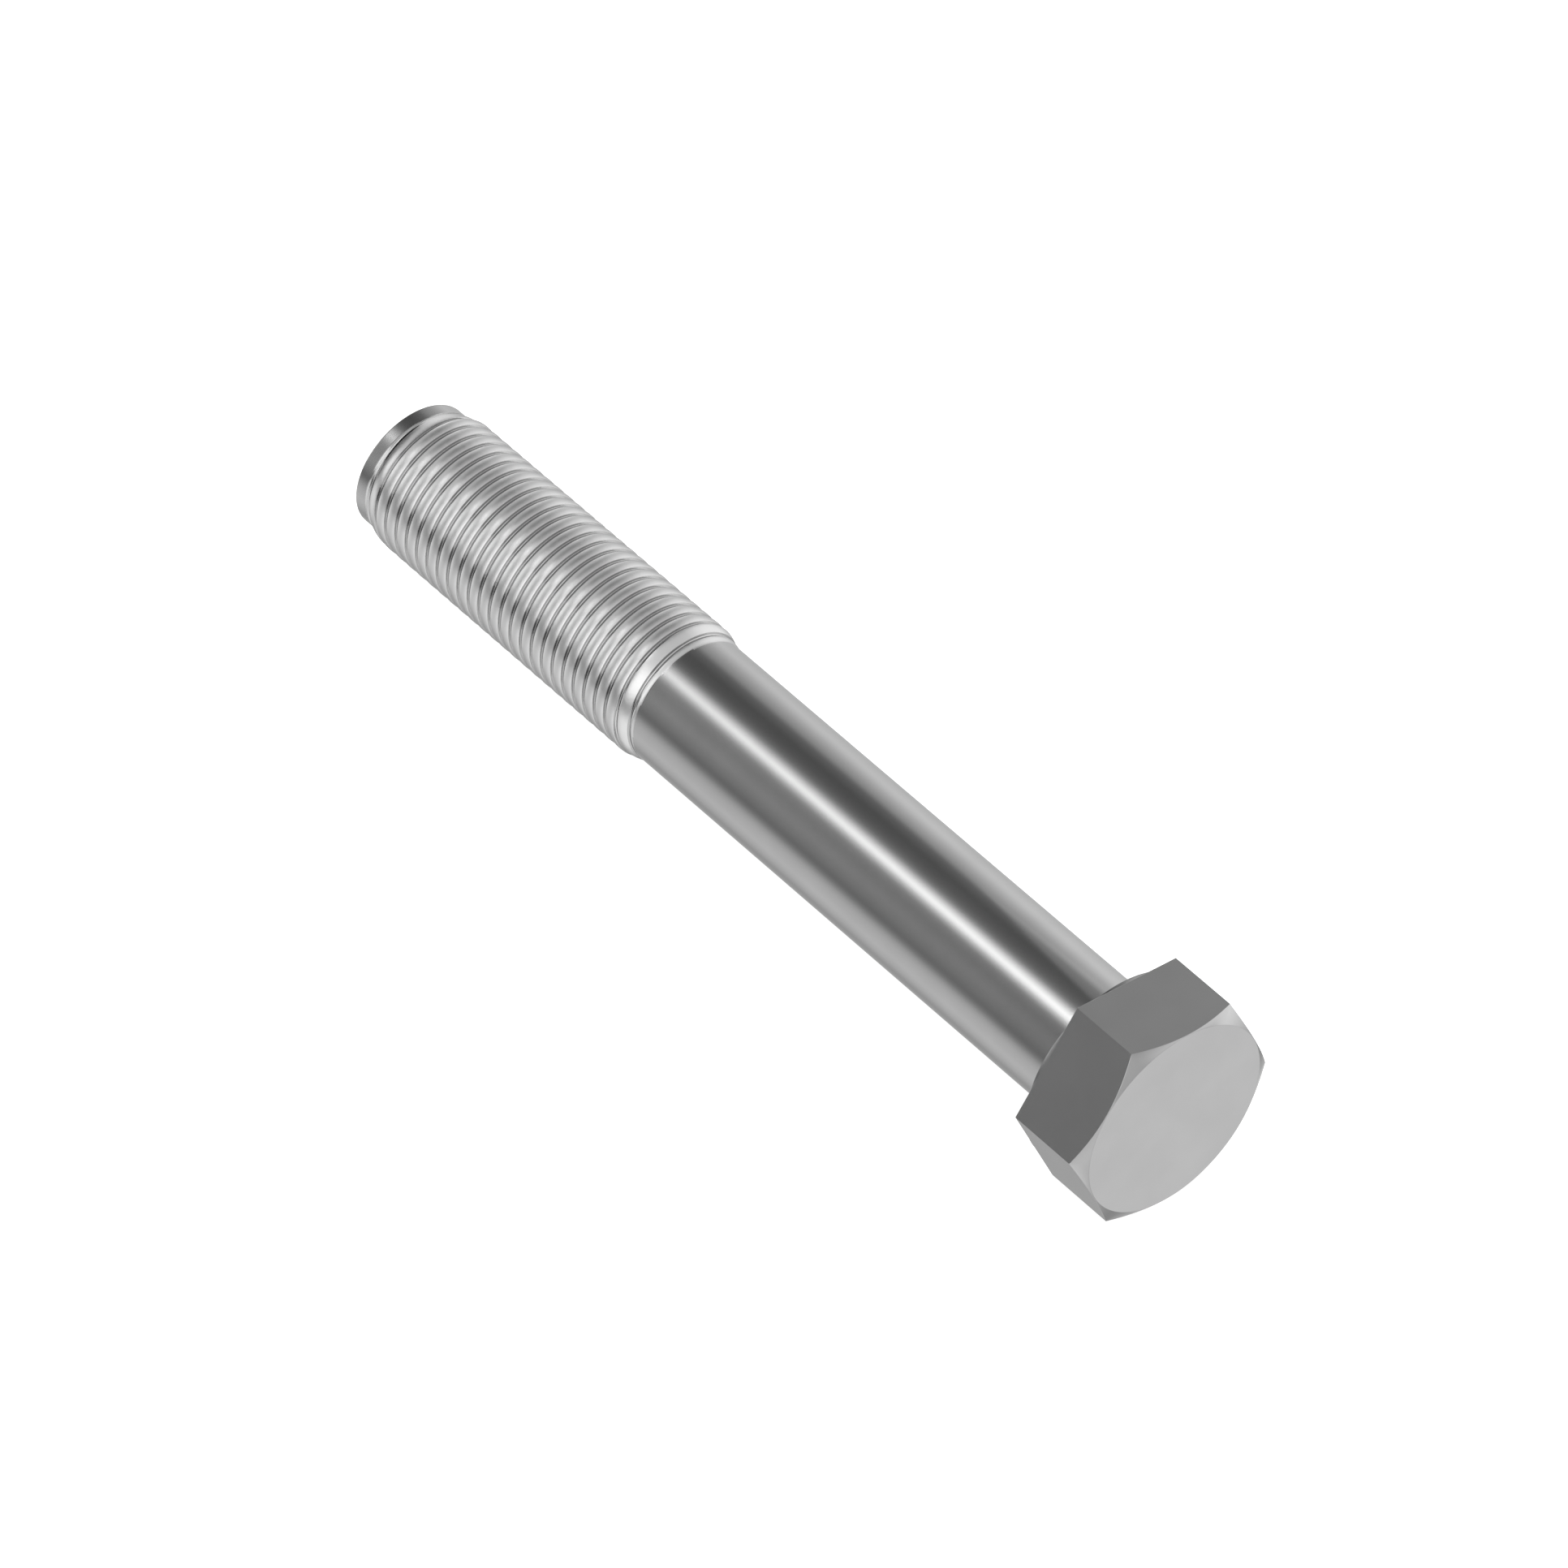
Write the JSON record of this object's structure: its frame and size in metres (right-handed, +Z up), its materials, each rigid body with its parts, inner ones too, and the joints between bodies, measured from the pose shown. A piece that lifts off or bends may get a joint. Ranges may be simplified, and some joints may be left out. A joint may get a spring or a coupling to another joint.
{
  "type": "hex bolt",
  "caption": "Steel hex bolt with a washer-faced head, plain reduced shank, right-hand fine thread and a short plain point.",
  "frame": {"origin": "centre of the head's top face, on the bolt's axis", "axes": "+X along the bolt's axis, out of the head; the point is at -X. +Z up, square to one wrench flat, so the bolt lies on the opposite flat. +Y runs from corner to corner"},
  "size_m": [0.0885, 0.0192, 0.0166],
  "materials": {
    "steel": "bright drawn shank with a fine grain, satin head, satin rolled thread crests with darker flanks"
  },
  "bodies": {
    "root": {"hex_bolt": "steel"}
  },
  "joints": []
}
